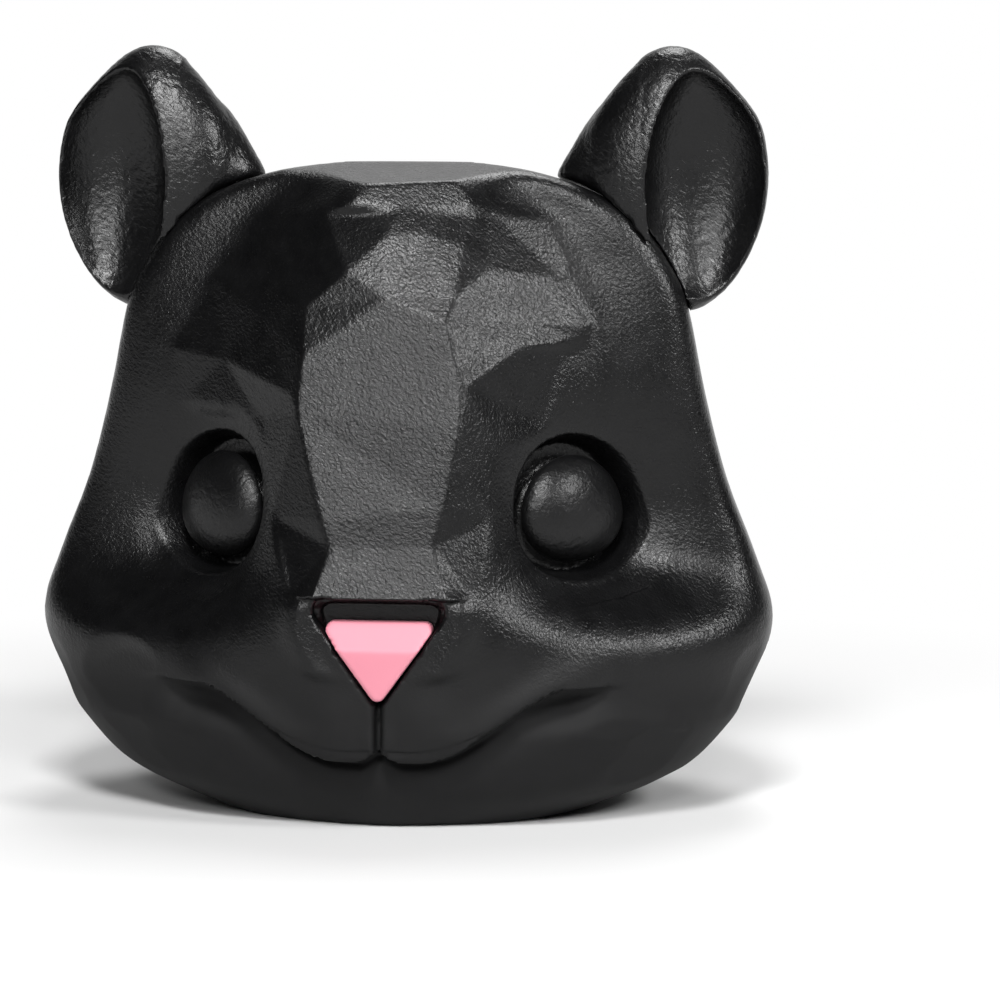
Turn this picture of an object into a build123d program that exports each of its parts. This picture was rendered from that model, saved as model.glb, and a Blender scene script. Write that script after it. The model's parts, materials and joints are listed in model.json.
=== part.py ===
from build123d import *
import os
from math import cos, radians, sin, tan

# Hollow animal-head feeder that stands on its neck rim or hangs from a cord.
# Millimetres, +Z up, face towards -Y. While it is drawn, Y is 0 on the widest line of the cheeks;
# the finished pieces are moved so that the origin is under the middle of the head.

# Heights of the level lines that the head is drawn on
KEEL_HEIGHT = -5.0  # below the flat neck rim, so that the underside runs into it smoothly
JAW_HEIGHT = 10.0
LIP_HEIGHT = 23.0
CHEEK_HEIGHT = 39.0
LID_HEIGHT = 50.0
EYE_HEIGHT = 63.5
BROW_HEIGHT = 88.0
TEMPLE_HEIGHT = 104.0
CROWN_HEIGHT = 131.3
SHOULDER_DROP = 9.5  # from the crown down to where the top turns into the sides
CREST_DROP = 2.6  # from the crown down to the edge of its flat top

# Half widths of the head at those lines
KEEL_HALF_WIDTH = 20.0
RIM_HALF_WIDTH = 38.5
JAW_HALF_WIDTH = 60.0
CHEEK_HALF_WIDTH = 75.0
LIP_TUCK = 5.0  # how much narrower than the cheeks, each side
LID_TUCK = 3.8
LIP_HALF_WIDTH = CHEEK_HALF_WIDTH - LIP_TUCK
LID_HALF_WIDTH = CHEEK_HALF_WIDTH - LID_TUCK
EYE_HALF_WIDTH = 66.5
BROW_HALF_WIDTH = 60.6
TEMPLE_HALF_WIDTH = 57.2
SHOULDER_HALF_WIDTH = 45.0
CREST_HALF_WIDTH = 30.0
CROWN_HALF_WIDTH = 18.0

# How far the middle of the face stands before the widest line
KEEL_FRONT = 21.0
RIM_FRONT = 31.0
JAW_FRONT = 38.5
LIP_FRONT = 42.3
CHEEK_FRONT = 43.5
LID_FRONT = 42.2
EYE_FRONT = 39.5
BROW_FRONT = 34.0
TEMPLE_FRONT = 28.0
SHOULDER_FRONT = 18.5
CREST_FRONT = 11.5
CROWN_FRONT = 3.5

# How far the eye planes stand before that line, at FLANK_SHARE of the half width
KEEL_FLANK = 15.0
RIM_FLANK = 22.0
JAW_FLANK = 27.0
LIP_FLANK = 28.5
CHEEK_FLANK = 24.0
LID_FLANK = 11.5
EYE_FLANK = 7.5
BROW_FLANK = 10.5
TEMPLE_FLANK = 8.0
SHOULDER_FLANK = 4.5
CREST_FLANK = 4.0
CROWN_FLANK = -0.5

# How far the back of the head stands behind that line
KEEL_BACK = 25.0
RIM_BACK = 37.0
JAW_BACK = 49.0
LIP_BACK = 56.0
CHEEK_BACK = 60.5
LID_BACK = 61.5
EYE_BACK = 62.0
BROW_BACK = 57.5
TEMPLE_BACK = 50.0
SHOULDER_BACK = 28.0
CREST_BACK = 15.0
CROWN_BACK = 9.0

BRIDGE_SHARE = 0.22  # of the half width, where the bridge turns into the eye planes
BRIDGE_ROUND = 0.03  # of the half width, how far the bridge falls back by then
FLANK_SHARE = 0.70
BACK_SHARE = 0.72
WALL = 4.0
TOP_TURN = 0.7  # how much of the inward wall turns into a downward one at the crown

# Flat facets of the forehead and the bridge: a point on each, its turn to +X from the front,
# its upward pitch and the height it is cut down to
CROWN_FACET_DROP = 2.4
FACETS = [
    ((0.0, -6.2, CROWN_HEIGHT - CROWN_FACET_DROP), 0.0, 78.4, CROWN_HEIGHT - SHOULDER_DROP),
    ((7.3, -24.3, 107.0), 9.0, 33.0, 90.0),
    ((-1.0, -30.0, 94.0), -2.4, 20.5, 80.0),
    ((17.3, -24.6, 100.9), 26.0, 21.0, 80.0),
    ((0.0, -36.3, 69.4), 0.0, 13.5, 46.0),
]

# Egg-shaped eyes in flared sockets, and their stems
EYE_X = 37.0
EYE_Y = -16.5
EYE_Z = 61.2
EYE_YAW = 44.0
EYE_PITCH = 4.0
EYE_HALF_SPAN = 12.0
EYE_ABOVE = 13.4  # from the eye's widest line to its top
EYE_BELOW = 9.4
EYE_DOME = 6.4
SOCKET_DEPTH = 4.0
SOCKET_GAP = 0.6  # round the eye at the socket's floor
SOCKET_SIDE = 2.4  # the same at the socket's mouth, at the sides, the top and the bottom
SOCKET_TOP = 3.4
SOCKET_BOTTOM = 1.6
SOCKET_REACH = 3.0  # how far past the mouth the socket's flare is cut
SOCKET_FLOOR = 3.0
SOCKET_BOSS_RADIUS = 15.0
STEM_RADIUS = 2.5
STEM_TIP = 1.2  # stem past its retainer
FIT = 0.1  # radial clearance of stems, spigots and the cord bush
RETAINER_RING = 4.0  # how much wider a retainer is than its stem, each side
RETAINER_THICK = 1.6
POCKET_GAP = 0.5  # free room round a retainer
POCKET_DEEP = 8.0  # and behind its boss

# Nose and its recess
NOSE_WIDTH = 24.3  # this and the next are taken before the corners are rounded
NOSE_TALL = 16.7
NOSE_TOP = 42.6
NOSE_FRONT = -43.6
NOSE_THICK = 6.5
NOSE_CORNER = 1.6
NOSE_BREAK = 5.6  # height of the nose's upper facet
NOSE_LEAN = 32.0  # how far that facet leans back
NOSE_STEM_DROP = 6.0  # from the nose's top edge to its stem
NOSE_GAP = 0.9
NOSE_TIP_SPREAD = 1.4  # how many gaps the recess runs past the tip
NOSE_HEADROOM = 3.4  # open slot above the nose, under the end of the bridge
NOSE_FLOOR = 3.0
NOSE_BOSS_RIM = 2.5

# Mouth lines, cut into the surface
MOUTH_WIDE = 1.3
MOUTH_DEEP = 1.6
MOUTH_POINTS = [(0, 16.4), (11, 16.8), (21, 20.4), (29, 25.6), (37, 29.4)]

# Ears, each an egg with a scooped bowl and a low spreading foot, on a spigot
EAR_X = 54.0
EAR_Y = 7.0
EAR_DROP = 2.8  # from the crown down to the middle of the ear
EAR_Z = CROWN_HEIGHT - EAR_DROP
EAR_HALF_WIDTH = 18.95
EAR_HALF_THICK = 11.0
EAR_HALF_TALL = 26.5
EAR_YAW = 15.0
BOWL_X = 60.8
BOWL_Y = 1.4
BOWL_DROP = 1.5  # from the middle of the ear
BOWL_Z = EAR_Z - BOWL_DROP
BOWL_YAW = 28.0
BOWL_HALF_WIDTH = 12.8
BOWL_HALF_TALL = 23.5
BOWL_DEEP = 9.5
FOOT_DROP = 13.3  # from the crown down to the bottom of the foot, which narrows upward
FOOT_TALL = 25.0
FOOT_BOTTOM = CROWN_HEIGHT - FOOT_DROP
FOOT_TOP = FOOT_BOTTOM + FOOT_TALL
FOOT_BOTTOM_X = 42.3
FOOT_BOTTOM_HALF_WIDTH = 19.0
FOOT_BOTTOM_HALF_DEEP = 9.0
FOOT_TOP_X = 50.0
FOOT_TOP_HALF_WIDTH = 12.0
FOOT_TOP_HALF_DEEP = 7.5
EAR_SEAM = 0.2  # gap between an ear's foot and the head
SPIGOT_X = 46.0
SPIGOT_Y = 11.0
SPIGOT_DROP = 14.3
SPIGOT_Z = CROWN_HEIGHT - SPIGOT_DROP
SPIGOT_LEAN = 40.0
SPIGOT_RADIUS = 4.5
SPIGOT_ROOT = 3.0  # spigot inside the ear
SPIGOT_SEAT = 9.0  # from the spigot's point down to the flat of its boss
EAR_BOSS_RADIUS = 10.0

# Cord hole in the crown, with its bush, washer and knot
CORD_DIAMETER = 1.5
SEAT_Y = 25.0
SEAT_DROP = 10.9  # from the crown down to the flat that the bush sits on
SEAT_HEIGHT = CROWN_HEIGHT - SEAT_DROP
SEAT_RADIUS = 6.5
PAD_THICK = 6.0
PAD_RADIUS = 9.0
BUSH_FLANGE_RADIUS = 5.5
BUSH_FLANGE_THICK = 0.8
BUSH_RADIUS = 2.8
CORD_CLEARANCE = 0.15
WASHER_RADIUS = 6.0
WASHER_THICK = 1.2
KNOT_RADIUS = 3.0
KNOT_WRAPS = 3
KNOT_WRAP_RADIUS = 0.9

# Food cup on its hanger inside the muzzle
CUP_WIDTH = 42.0
CUP_DEPTH = 22.0
CUP_TALL = 16.0
CUP_BOTTOM = 9.0
CUP_FRONT = -30.0
CUP_WALL = 1.8
CUP_CORNER = 7.0
RAIL_WIDTH = 9.0
RAIL_NECK = 6.0
RAIL_REACH = 3.6
RAIL_TALL = 8.0
RAIL_RISE = 1.5  # from the cup's bottom to the rail's
RAIL_FIT = 0.3
HANGER_WIDTH = 17.0
HANGER_FLOOR = 2.0

# Hanging cord, from its exit over the bush, down the back and onto the floor
CORD_ROUTE = [
    (0.0, 25.0, 124.4),
    (0.0, 27.1, 127.4),
    (0.0, 30.7, 128.4),
    (0.0, 34.8, 126.5),
    (0.1, 39.5, 121.0),
    (0.2, 46.5, 113.2),
    (0.3, 54.0, 103.5),
    (0.5, 60.5, 90.5),
    (0.8, 64.4, 75.5),
    (1.0, 65.6, 59.5),
    (1.1, 65.7, 43.0),
    (1.0, 65.9, 28.0),
    (1.2, 66.5, 15.0),
    (2.2, 69.2, 5.8),
    (6.0, 75.5, 1.3),
    (13.5, 82.0, 0.8),
    (22.0, 90.0, 0.8),
    (25.5, 100.0, 0.8),
    (19.0, 108.5, 0.8),
    (7.5, 111.0, 0.8),
    (-5.0, 108.0, 0.8),
    (-17.0, 106.5, 0.8),
    (-28.0, 102.5, 1.0),
    (-36.0, 94.5, 1.6),
    (-40.0, 85.0, 1.6),
]
ARC_SHARE = 0.45  # of the shorter run, taken up by the arc at a point of the route
RING_RADIUS = 10.0
RING_BORE_RADIUS = 7.0
RING_THICK = 3.2
RING_STEM_RADIUS = 1.45
RING_STEM_LENGTH = 9.0
RING_SOCKET = 5.0
RING_ROOT = 0.8  # stem inside the ring's band

SIDE_OUTLINE = [
    (KEEL_HEIGHT, KEEL_HALF_WIDTH),
    (0, RIM_HALF_WIDTH),
    (JAW_HEIGHT, JAW_HALF_WIDTH),
    (LIP_HEIGHT, LIP_HALF_WIDTH),
    (CHEEK_HEIGHT, CHEEK_HALF_WIDTH),
    (LID_HEIGHT, LID_HALF_WIDTH),
    (EYE_HEIGHT, EYE_HALF_WIDTH),
    (BROW_HEIGHT, BROW_HALF_WIDTH),
    (TEMPLE_HEIGHT, TEMPLE_HALF_WIDTH),
    (CROWN_HEIGHT - SHOULDER_DROP, SHOULDER_HALF_WIDTH),
    (CROWN_HEIGHT - CREST_DROP, CREST_HALF_WIDTH),
    (CROWN_HEIGHT, CROWN_HALF_WIDTH),
]
LEVELS = [height for height, _ in SIDE_OUTLINE]
FRONT_OUTLINE = list(zip(LEVELS, [
    KEEL_FRONT, RIM_FRONT, JAW_FRONT, LIP_FRONT, CHEEK_FRONT, LID_FRONT, EYE_FRONT,
    BROW_FRONT, TEMPLE_FRONT, SHOULDER_FRONT, CREST_FRONT, CROWN_FRONT,
]))
FLANK_OUTLINE = list(zip(LEVELS, [
    KEEL_FLANK, RIM_FLANK, JAW_FLANK, LIP_FLANK, CHEEK_FLANK, LID_FLANK, EYE_FLANK,
    BROW_FLANK, TEMPLE_FLANK, SHOULDER_FLANK, CREST_FLANK, CROWN_FLANK,
]))
BACK_OUTLINE = list(zip(LEVELS, [
    KEEL_BACK, RIM_BACK, JAW_BACK, LIP_BACK, CHEEK_BACK, LID_BACK, EYE_BACK,
    BROW_BACK, TEMPLE_BACK, SHOULDER_BACK, CREST_BACK, CROWN_BACK,
]))
FAR = 2 * CHEEK_HALF_WIDTH  # past the head in any direction
UPWARD = (Align.CENTER, Align.CENTER, Align.MIN)


def curve_at(outline, height):
    """Value at a height on the smooth curve through an outline's (height, value) points."""
    spans = [(b[1] - a[1]) / (b[0] - a[0]) for a, b in zip(outline, outline[1:])]
    slopes = [spans[0]]
    for before, after in zip(spans, spans[1:]):
        same_way = before * after > 0
        slopes.append(2 * before * after / (before + after) if same_way else 0.0)
    slopes.append(spans[-1])
    for index, (low, high) in enumerate(zip(outline, outline[1:])):
        if height <= high[0]:
            break
    reach = high[0] - low[0]
    t = (height - low[0]) / reach
    return (
        low[1] * (1 + 2 * t) * (1 - t) ** 2
        + high[1] * t * t * (3 - 2 * t)
        + reach * t * (1 - t) * ((1 - t) * slopes[index] - t * slopes[index + 1])
    )


def half_section(height, inset):
    """Right half of the head's level outline at a height, drawn in by inset and lowered to match."""
    top_share = max((height - TEMPLE_HEIGHT) / (CROWN_HEIGHT - TEMPLE_HEIGHT), 0)
    inward = inset * (1 - TOP_TURN * top_share)
    half = curve_at(SIDE_OUTLINE, height) - inward
    front = curve_at(FRONT_OUTLINE, height) - inward
    flank = curve_at(FLANK_OUTLINE, height) - inward
    back = curve_at(BACK_OUTLINE, height) - inward
    bridge = (BRIDGE_SHARE * half, -front + BRIDGE_ROUND * half)
    before = [(0, -front), bridge, (FLANK_SHARE * half, -flank)]
    behind = [(BACK_SHARE * half, BACK_SHARE * back), (0, back)]
    edges = [
        Spline(*before, (half, 0), tangents=[(1, 0), (0, 1)], tangent_scalars=[1, 1]),
        Spline((half, 0), *behind, tangents=[(0, 1), (-1, 0)], tangent_scalars=[1, 1]),
        Line((0, back), (0, -front)),
    ]
    return Pos(0, 0, height - inset * top_share) * make_face(edges)


def head_form(inset=0.0):
    """The head's whole form drawn in by inset, as a right half and its mirror image."""
    heights = []
    for low, high in zip(LEVELS, LEVELS[1:]):
        heights += [low, (low + high) / 2]
    half = loft([half_section(z, inset) for z in heights + LEVELS[-1:]])
    return half + mirror(half, about=Plane.YZ)


def facing(point, yaw, pitch=0.0):
    """Plane at a point whose normal is turned from the front by yaw, to +X, and raised by pitch."""
    level = cos(radians(pitch))
    normal = (sin(radians(yaw)) * level, -cos(radians(yaw)) * level, sin(radians(pitch)))
    return Plane(origin=point, x_dir=(cos(radians(yaw)), sin(radians(yaw)), 0), z_dir=normal)


def beyond(plane):
    """Everything on the outer side of a plane."""
    return plane * Box(FAR, FAR, FAR, align=UPWARD)


def post(plane, radius, low, high):
    """Round post on a plane, from low to high along its normal."""
    return plane * Pos(0, 0, low) * Cylinder(radius, high - low, align=UPWARD)


def ellipsoid(plane, half_x, half_y, half_z):
    """Ellipsoid on a plane's axes."""
    return plane * scale(Sphere(1.0), by=(half_x, half_y, half_z))


def stem(plane, radius, seat, top):
    """Stem that runs from top through a boss, whose flat is at seat, and out past its retainer."""
    return post(plane, radius, -seat - RETAINER_THICK - STEM_TIP, top)


def retainer(plane, radius, seat):
    """Push-on washer for a stem of that radius, under a boss whose flat is at seat."""
    low = -seat - RETAINER_THICK
    disc = post(plane, radius + RETAINER_RING, low, -seat)
    return disc - post(plane, radius + FIT, low, -seat)


def pocket(plane, radius, seat):
    """Free room behind a boss for the retainer of a stem of that radius."""
    return post(plane, radius + RETAINER_RING + POCKET_GAP, -seat - POCKET_DEEP, -seat)


def front_prism(sketch, back):
    """Sketch in the X-Z plane carried forward out of the face from a depth."""
    return extrude(Plane.XZ.offset(-back) * sketch, amount=FAR)


def nose_outline(gap=0.0, headroom=0.0):
    """Rounded triangle of the nose, or its recess with a gap all round and room above."""
    half = NOSE_WIDTH / 2 + gap
    top = NOSE_TOP + gap + headroom
    tip = NOSE_TOP - NOSE_TALL - NOSE_TIP_SPREAD * gap
    corners = [(-half, NOSE_TOP + gap), (half, NOSE_TOP + gap), (0, tip)]
    if headroom:
        corners[1:1] = [(-half, top), (half, top)]
    return fillet(make_face(Polyline(*corners, close=True)).vertices(), NOSE_CORNER)


def egg_outline(span, above, below):
    """Egg drawn about the middle of its widest line."""
    upper = EllipticalCenterArc((0, 0), span, above, 0, arc_size=180)
    lower = EllipticalCenterArc((0, 0), span, below, 180, arc_size=180)
    return make_face([upper, lower])


outer = head_form()
inner = head_form(WALL)
for point, yaw, pitch, floor in FACETS:
    plane = facing(point, yaw, pitch)
    above = Pos(0, 0, floor) * Box(2 * FAR, 2 * FAR, FAR, align=UPWARD)
    outer -= beyond(plane) & above
    inner -= beyond(plane.offset(-WALL)) & above
below = Pos(0, 0, KEEL_HEIGHT) * Box(2 * FAR, 2 * FAR, -KEEL_HEIGHT, align=UPWARD)
shell = outer - inner - below
nodes = {}

# Eyes in flared sockets
open_share = SOCKET_REACH / SOCKET_DEPTH
over_side = SOCKET_SIDE + open_share * (SOCKET_SIDE - SOCKET_GAP)
over_top = SOCKET_TOP + open_share * (SOCKET_TOP - SOCKET_GAP)
over_bottom = SOCKET_BOTTOM + open_share * (SOCKET_BOTTOM - SOCKET_GAP)
floor_rim = egg_outline(EYE_HALF_SPAN + SOCKET_GAP, EYE_ABOVE + SOCKET_GAP, EYE_BELOW + SOCKET_GAP)
mouth_rim = egg_outline(EYE_HALF_SPAN + over_side, EYE_ABOVE + over_top, EYE_BELOW + over_bottom)
eye_seat = SOCKET_DEPTH + SOCKET_FLOOR
for side, name in ((-1, "left"), (1, "right")):
    plane = facing((side * EYE_X, EYE_Y, EYE_Z), side * EYE_YAW, EYE_PITCH)
    base = plane.offset(-SOCKET_DEPTH)
    shell += post(plane, SOCKET_BOSS_RADIUS, -eye_seat, -WALL / 2) & outer
    shell -= loft([base * floor_rim, plane.offset(SOCKET_REACH) * mouth_rim])
    shell -= post(plane, STEM_RADIUS + FIT, -eye_seat, 0) + pocket(plane, STEM_RADIUS, eye_seat)
    upper = ellipsoid(base, EYE_HALF_SPAN, EYE_ABOVE, EYE_DOME)
    upper &= base * Box(FAR, FAR, FAR, align=(Align.CENTER, Align.MIN, Align.MIN))
    lower = ellipsoid(base, EYE_HALF_SPAN, EYE_BELOW, EYE_DOME)
    lower &= base * Box(FAR, FAR, FAR, align=(Align.CENTER, Align.MAX, Align.MIN))
    nodes[f"{name}_eye"] = upper + lower + stem(plane, STEM_RADIUS, eye_seat, -SOCKET_DEPTH)
    nodes[f"{name}_eye_retainer"] = retainer(plane, STEM_RADIUS, eye_seat)

# Nose in its recess under the end of the bridge
nose_back = NOSE_FRONT + NOSE_THICK
nose_plane = facing((0, NOSE_FRONT, NOSE_TOP - NOSE_STEM_DROP), 0)
nose_seat = NOSE_THICK + NOSE_FLOOR
boss = offset(nose_outline(NOSE_GAP, NOSE_HEADROOM), NOSE_BOSS_RIM)
shell += front_prism(boss, nose_back + NOSE_FLOOR) & outer
shell -= front_prism(nose_outline(NOSE_GAP, NOSE_HEADROOM), nose_back)
shell -= post(nose_plane, STEM_RADIUS + FIT, -nose_seat, 0)
shell -= pocket(nose_plane, STEM_RADIUS, nose_seat)
nose = front_prism(nose_outline(), nose_back) - beyond(nose_plane)
nose -= beyond(facing((0, NOSE_FRONT, NOSE_TOP - NOSE_BREAK), 0, NOSE_LEAN))
nodes["nose"] = nose + stem(nose_plane, STEM_RADIUS, nose_seat, -NOSE_THICK)
nodes["nose_retainer"] = retainer(nose_plane, STEM_RADIUS, nose_seat)

# Ears on spigots that pass through the shell
low_rim = Ellipse(FOOT_BOTTOM_HALF_WIDTH, FOOT_BOTTOM_HALF_DEEP)
high_rim = Ellipse(FOOT_TOP_HALF_WIDTH, FOOT_TOP_HALF_DEEP)
foot_bottom = Pos(FOOT_BOTTOM_X, EAR_Y, FOOT_BOTTOM) * low_rim
foot_top = Pos(FOOT_TOP_X, EAR_Y, FOOT_TOP) * high_rim
bowl = facing((BOWL_X, BOWL_Y, BOWL_Z), BOWL_YAW)
egg = facing((EAR_X, EAR_Y, EAR_Z), EAR_YAW)
ear = ellipsoid(egg, EAR_HALF_WIDTH, EAR_HALF_TALL, EAR_HALF_THICK)
ear += loft([foot_bottom, foot_top])
ear -= ellipsoid(bowl, BOWL_HALF_WIDTH, BOWL_HALF_TALL, BOWL_DEEP)
ear -= head_form(-EAR_SEAM)
lean = (sin(radians(SPIGOT_LEAN)), 0, cos(radians(SPIGOT_LEAN)))
plane = Plane(origin=(SPIGOT_X, SPIGOT_Y, SPIGOT_Z), z_dir=lean)
ear_pieces = {
    "ear": ear + stem(plane, SPIGOT_RADIUS, SPIGOT_SEAT, SPIGOT_ROOT),
    "ear_retainer": retainer(plane, SPIGOT_RADIUS, SPIGOT_SEAT),
}
ear_boss = post(plane, EAR_BOSS_RADIUS, -SPIGOT_SEAT, -WALL / 2) & outer
ear_hole = post(plane, SPIGOT_RADIUS + FIT, -SPIGOT_SEAT, SPIGOT_SEAT)
ear_hole += pocket(plane, SPIGOT_RADIUS, SPIGOT_SEAT)
shell += ear_boss + mirror(ear_boss, about=Plane.YZ)
shell -= ear_hole + mirror(ear_hole, about=Plane.YZ)
for name, piece in ear_pieces.items():
    nodes[f"right_{name}"] = piece
    nodes[f"left_{name}"] = mirror(piece, about=Plane.YZ)

# Cord hole in the crown: a flat seat open to the back, with a thick pad under it
seat_plane = Plane(origin=(0, SEAT_Y, SEAT_HEIGHT))
bore = CORD_DIAMETER / 2 + CORD_CLEARANCE
shell += post(seat_plane, PAD_RADIUS, -PAD_THICK, FAR) & outer
shell -= post(seat_plane, SEAT_RADIUS, 0, FAR) + post(seat_plane, BUSH_RADIUS + FIT, -PAD_THICK, 0)
bush = post(seat_plane, BUSH_FLANGE_RADIUS, 0, BUSH_FLANGE_THICK)
bush += post(seat_plane, BUSH_RADIUS, -PAD_THICK, 0)
nodes["crown_grommet"] = bush - post(seat_plane, bore, -PAD_THICK, BUSH_FLANGE_THICK)
shell -= post(seat_plane, WASHER_RADIUS + POCKET_GAP, -PAD_THICK - POCKET_DEEP, -PAD_THICK)
under_washer = -PAD_THICK - WASHER_THICK
washer = post(seat_plane, WASHER_RADIUS, under_washer, -PAD_THICK)
nodes["cord_washer"] = washer - post(seat_plane, bore, under_washer, -PAD_THICK)
turn_radius = KNOT_RADIUS - KNOT_WRAP_RADIUS
knot_tall = 2 * KNOT_WRAP_RADIUS + (KNOT_WRAPS - 1) * CORD_DIAMETER
knot = post(seat_plane, turn_radius, under_washer - knot_tall, under_washer)
for wrap in range(KNOT_WRAPS):
    level = under_washer - KNOT_WRAP_RADIUS - wrap * CORD_DIAMETER
    knot += seat_plane.offset(level) * Torus(turn_radius, KNOT_WRAP_RADIUS)
nodes["cord_knot"] = knot + post(seat_plane, CORD_DIAMETER / 2, under_washer, BUSH_FLANGE_THICK)

# Food cup that lifts off a hanger behind the lips
cup_middle = CUP_FRONT + CUP_DEPTH / 2
rail_bottom = CUP_BOTTOM + RAIL_RISE
cup_plane = Plane(origin=(0, cup_middle, CUP_BOTTOM))
cup = extrude(cup_plane * RectangleRounded(CUP_WIDTH, CUP_DEPTH, CUP_CORNER), CUP_TALL)
hollow = RectangleRounded(CUP_WIDTH - 2 * CUP_WALL, CUP_DEPTH - 2 * CUP_WALL, CUP_CORNER - CUP_WALL)
cup -= extrude(cup_plane.offset(CUP_WALL) * hollow, CUP_TALL)


def dovetail(fit, low, high):
    """Rail on the cup's front, or the slot that holds it, between two heights."""
    rail_front = CUP_FRONT - RAIL_REACH - fit
    inner_end = CUP_FRONT + CUP_WALL / 2
    corners = [
        (-RAIL_NECK / 2 - fit, inner_end),
        (-RAIL_WIDTH / 2 - fit, rail_front),
        (RAIL_WIDTH / 2 + fit, rail_front),
        (RAIL_NECK / 2 + fit, inner_end),
    ]
    return extrude(Pos(0, 0, low) * make_face(Polyline(*corners, close=True)), high - low)


hanger_bottom = rail_bottom - RAIL_FIT - HANGER_FLOOR
hanger = Pos(0, CUP_FRONT - RAIL_FIT, hanger_bottom) * Box(
    HANGER_WIDTH, FAR, HANGER_FLOOR + RAIL_FIT + RAIL_TALL, align=(Align.CENTER, Align.MAX, Align.MIN)
)
shell += hanger & outer
shell -= dovetail(RAIL_FIT, rail_bottom - RAIL_FIT, rail_bottom + RAIL_TALL + RAIL_FIT)
nodes["food_cup"] = cup + dovetail(0, rail_bottom, rail_bottom + RAIL_TALL)

# Mouth: a groove from the nose down to a wide smile
smile = [(-x, z) for x, z in reversed(MOUTH_POINTS[1:])] + MOUTH_POINTS
groove = trace(Spline(*smile), MOUTH_WIDE)
top = NOSE_TOP - NOSE_TALL
lip = MOUTH_POINTS[0][1]
groove += Pos(0, lip) * Rectangle(MOUTH_WIDE, top - lip, align=(Align.CENTER, Align.MIN))
shell -= front_prism(groove, 0) - head_form(MOUTH_DEEP)
nodes["head_shell"] = shell

# Hanging cord with a ring on its end
exit_point = (0, SEAT_Y, SEAT_HEIGHT + BUSH_FLANGE_THICK)
route = [Vector(*point) for point in [exit_point] + CORD_ROUTE]
radii = []
for a, b, c in zip(route, route[1:], route[2:]):
    shorter = min((b - a).length, (c - b).length)
    radii.append(ARC_SHARE * shorter / tan(radians((b - a).get_angle(c - b)) / 2))
line = FilletPolyline(*route, radius=radii)
cord = sweep(Plane(origin=exit_point) * Circle(CORD_DIAMETER / 2), path=line)
section_times_length = Circle(CORD_DIAMETER / 2).area * line.length
print("cord radii", [round(r, 1) for r in radii], "length", round(line.length, 1))
print("cord volume", round(cord.volume, 2), "section times length", round(section_times_length, 2))
nodes["hanging_cord"] = cord
heading = (route[-1] - route[-2]).normalized()
end_plane = Plane(origin=route[-1], z_dir=heading)
stem_reach = RING_STEM_LENGTH - RING_SOCKET
ring_middle = route[-1] + heading * (stem_reach + RING_RADIUS - RING_ROOT)
ring_plane = Plane(origin=ring_middle - Vector(0, 0, RING_THICK / 2))
ring = post(ring_plane, RING_RADIUS, 0, RING_THICK)
ring += post(end_plane, RING_STEM_RADIUS, -RING_SOCKET, stem_reach)
ring -= post(ring_plane, RING_BORE_RADIUS, 0, RING_THICK)
nodes["hanging_ring"] = ring - post(end_plane, CORD_DIAMETER / 2, -RING_SOCKET, 0)

# The origin goes under the middle of the head
boxes = [nodes[name].bounding_box() for name in ("head_shell", "nose", "left_ear", "right_ear")]
middle_y = (min(box.min.Y for box in boxes) + max(box.max.Y for box in boxes)) / 2
print("moved along Y by", round(-middle_y, 3))
os.makedirs("parts", exist_ok=True)
for name, piece in nodes.items():
    export_step(Pos(0, -middle_y, 0) * piece, f"parts/{name}.step")
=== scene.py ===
import json
import random
from math import cos, exp, radians, sin

import bmesh
import bpy
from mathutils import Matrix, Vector, noise
from mathutils.bvhtree import BVHTree
from mathutils.kdtree import KDTree


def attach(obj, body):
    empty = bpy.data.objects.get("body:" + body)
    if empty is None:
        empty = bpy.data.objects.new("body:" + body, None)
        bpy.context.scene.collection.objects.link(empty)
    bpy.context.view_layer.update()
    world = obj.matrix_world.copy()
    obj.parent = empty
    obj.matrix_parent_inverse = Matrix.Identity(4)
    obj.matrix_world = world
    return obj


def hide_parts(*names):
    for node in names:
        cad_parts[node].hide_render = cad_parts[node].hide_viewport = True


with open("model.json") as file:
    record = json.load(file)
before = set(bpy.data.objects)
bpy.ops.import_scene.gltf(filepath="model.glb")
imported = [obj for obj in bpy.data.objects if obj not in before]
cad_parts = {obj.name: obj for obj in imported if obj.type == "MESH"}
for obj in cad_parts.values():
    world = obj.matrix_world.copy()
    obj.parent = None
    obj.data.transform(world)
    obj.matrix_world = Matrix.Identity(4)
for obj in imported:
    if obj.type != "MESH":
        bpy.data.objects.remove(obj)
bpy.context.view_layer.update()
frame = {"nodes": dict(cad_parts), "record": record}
scene = bpy.context.scene
mm = 0.001
mergeWithin = 0.002 * mm
far = 999.0  # past everything, in mm


def smoothStep(low, high, value):
    t = min(max((value - low) / (high - low), 0.0), 1.0)
    return t * t * (3 - 2 * t)


def facingVector(yaw, pitch):  # turned to +X from the front, raised by pitch
    level = cos(radians(pitch))
    return Vector((sin(radians(yaw)) * level, -cos(radians(yaw)) * level, sin(radians(pitch))))


# camera
camera = {
    "target": (0.0, -9.2 * mm, 65 * mm),  # middle of the cheeks
    "turn": 7.5,
    "rise": 6.5,
    "distance": 0.9,
    "sensorWidth": 36,
    "frameWidth": 205.5 * mm,  # seen at the target
    "shift": (0.0945, -0.014),
}


def makeCamera(c):
    data = bpy.data.cameras.new("viewCamera")
    data.sensor_width = c["sensorWidth"]
    data.lens = data.sensor_width * c["distance"] / c["frameWidth"]
    data.shift_x, data.shift_y = c["shift"]
    obj = bpy.data.objects.new("viewCamera", data)
    scene.collection.objects.link(obj)
    away = facingVector(c["turn"], c["rise"])
    obj.location = Vector(c["target"]) + away * c["distance"]
    obj.rotation_euler = away.to_track_quat("Z", "Y").to_euler()
    scene.camera = obj


makeCamera(camera)
print("camera set")

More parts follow.
